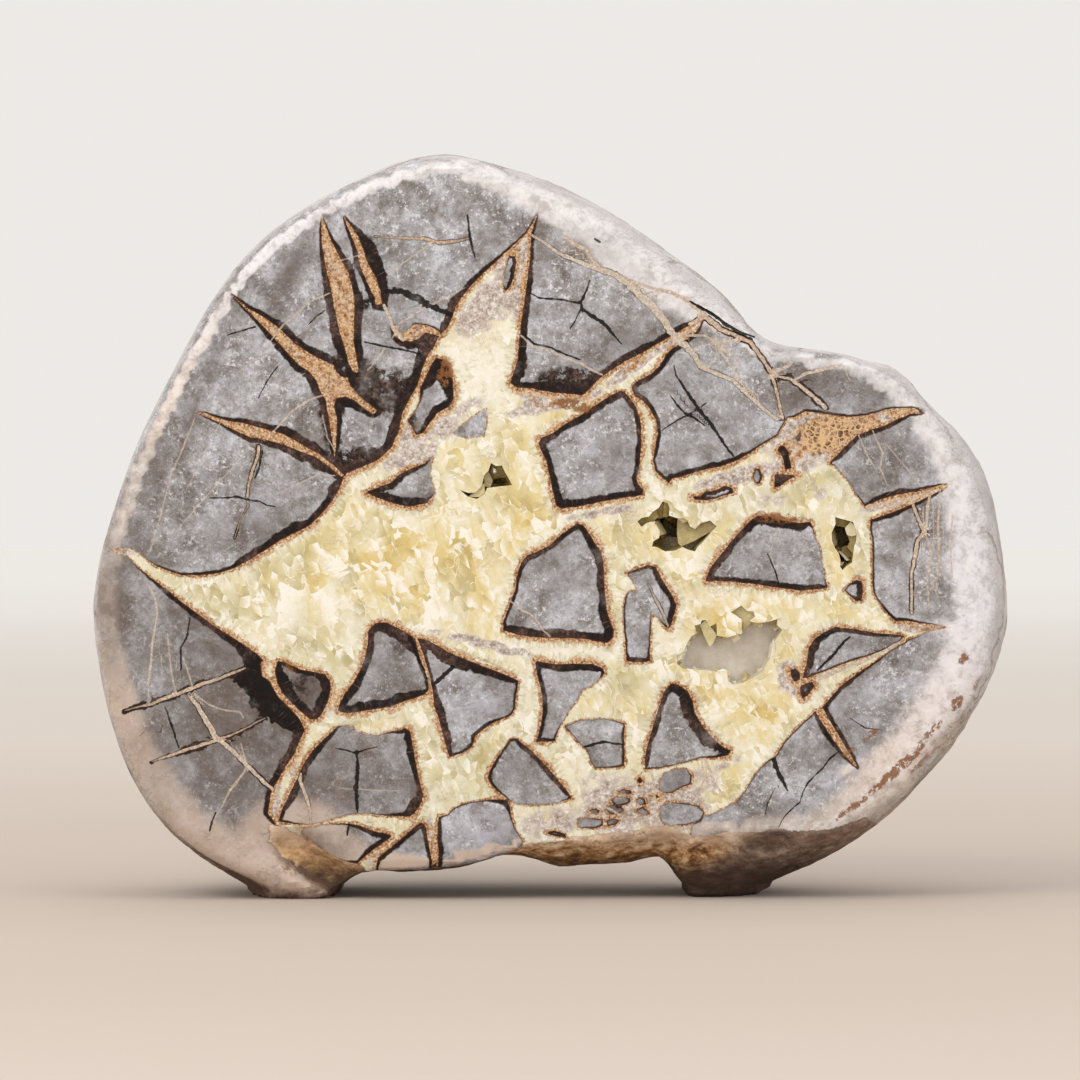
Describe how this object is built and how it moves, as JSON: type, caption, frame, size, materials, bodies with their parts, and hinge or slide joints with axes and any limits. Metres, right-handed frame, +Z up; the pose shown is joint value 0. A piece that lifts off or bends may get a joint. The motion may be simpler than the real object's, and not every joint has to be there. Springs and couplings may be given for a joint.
{
  "type": "septarian nodule",
  "caption": "Polished half of a septarian concretion that stands upright on its ground feet, with small crystal-lined hollows in its flat face.",
  "frame": {"origin": "centre of the stone's footprint box, on the surface that it stands on", "axes": "+X to the right along the polished face, +Y from the polished face to the back, +Z up"},
  "size_m": [0.188, 0.0672, 0.1509],
  "materials": {
    "septarian_stone": "polished",
    "calcite_crystals": "glassy"
  },
  "bodies": {
    "root": {"nodule": "septarian_stone", "crystals_small_hollow": "calcite_crystals", "crystals_wide_hollow": "calcite_crystals", "crystals_tall_hollow": "calcite_crystals", "crystals_shallow_hollow": "calcite_crystals"}
  },
  "joints": []
}
